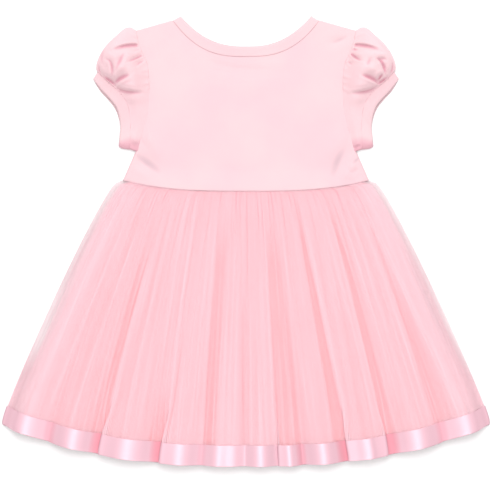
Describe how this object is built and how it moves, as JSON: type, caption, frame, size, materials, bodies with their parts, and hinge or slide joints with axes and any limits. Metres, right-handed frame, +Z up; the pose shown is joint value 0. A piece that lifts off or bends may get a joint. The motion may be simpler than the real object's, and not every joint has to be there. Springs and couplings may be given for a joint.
{
  "type": "toddler party dress",
  "caption": "Short-sleeved party dress for a toddler laid flat on its front: jersey bodice with bound neck and puff sleeves, gathered net skirt over a lining, satin ribbon hem",
  "frame": {"origin": "centre of the bounding box's footprint, on the surface that the dress lies on", "axes": "+X across the dress, towards its right edge as seen from above; +Y from hem to neck; +Z up, out of the uppermost side, which is the dress's back"},
  "size_m": [0.5344, 0.4952, 0.0209],
  "materials": {
    "bodice_jersey": "matte",
    "binding_jersey": "matte",
    "sleeve_jersey": "matte",
    "skirt_net": "matte",
    "skirt_lining": "satin",
    "hem_ribbon": "satin"
  },
  "bodies": {
    "root": {"bodice_back": "bodice_jersey", "bodice_front": "bodice_jersey", "neck_binding": "binding_jersey", "sleeve_left": "sleeve_jersey", "sleeve_right": "sleeve_jersey", "cuff_left": "binding_jersey", "cuff_right": "binding_jersey", "net_back": "skirt_net", "net_front": "skirt_net", "lining_back": "skirt_lining", "lining_front": "skirt_lining", "hem_ribbon": "hem_ribbon"}
  },
  "joints": []
}
